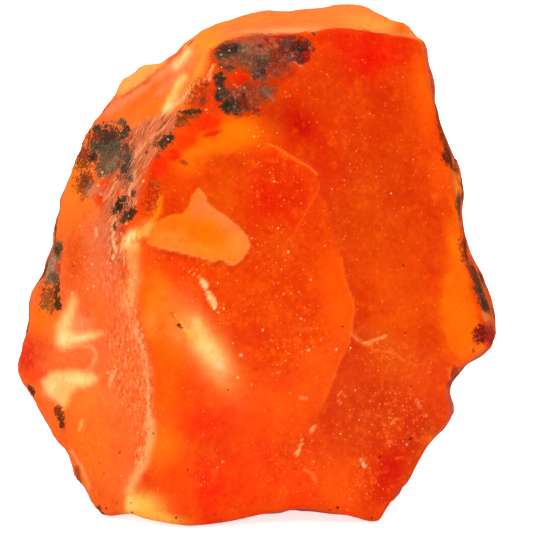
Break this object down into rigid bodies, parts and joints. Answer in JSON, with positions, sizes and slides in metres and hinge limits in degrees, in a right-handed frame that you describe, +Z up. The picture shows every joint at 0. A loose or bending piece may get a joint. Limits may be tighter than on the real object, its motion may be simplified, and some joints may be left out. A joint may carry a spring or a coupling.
{
  "type": "rough carnelian",
  "caption": "Broken lump of translucent orange-red chalcedony with flat fracture faces, a thin flake, and dark weathered skin on its edges and back.",
  "frame": {"origin": "middle of the stone's bounding box, in the plane of its flat broken underside", "axes": "+Z up from the underside, -Y the way the broad broken front face looks, +X to the right of that face as it is seen"},
  "size_m": [0.0418, 0.0288, 0.0418],
  "materials": {
    "carnelian": "translucent orange-red chalcedony with waxy broken faces, frosted ridges and patches of dark brown-green weathered skin"
  },
  "bodies": {
    "root": {"rough_carnelian": "carnelian"}
  },
  "joints": []
}
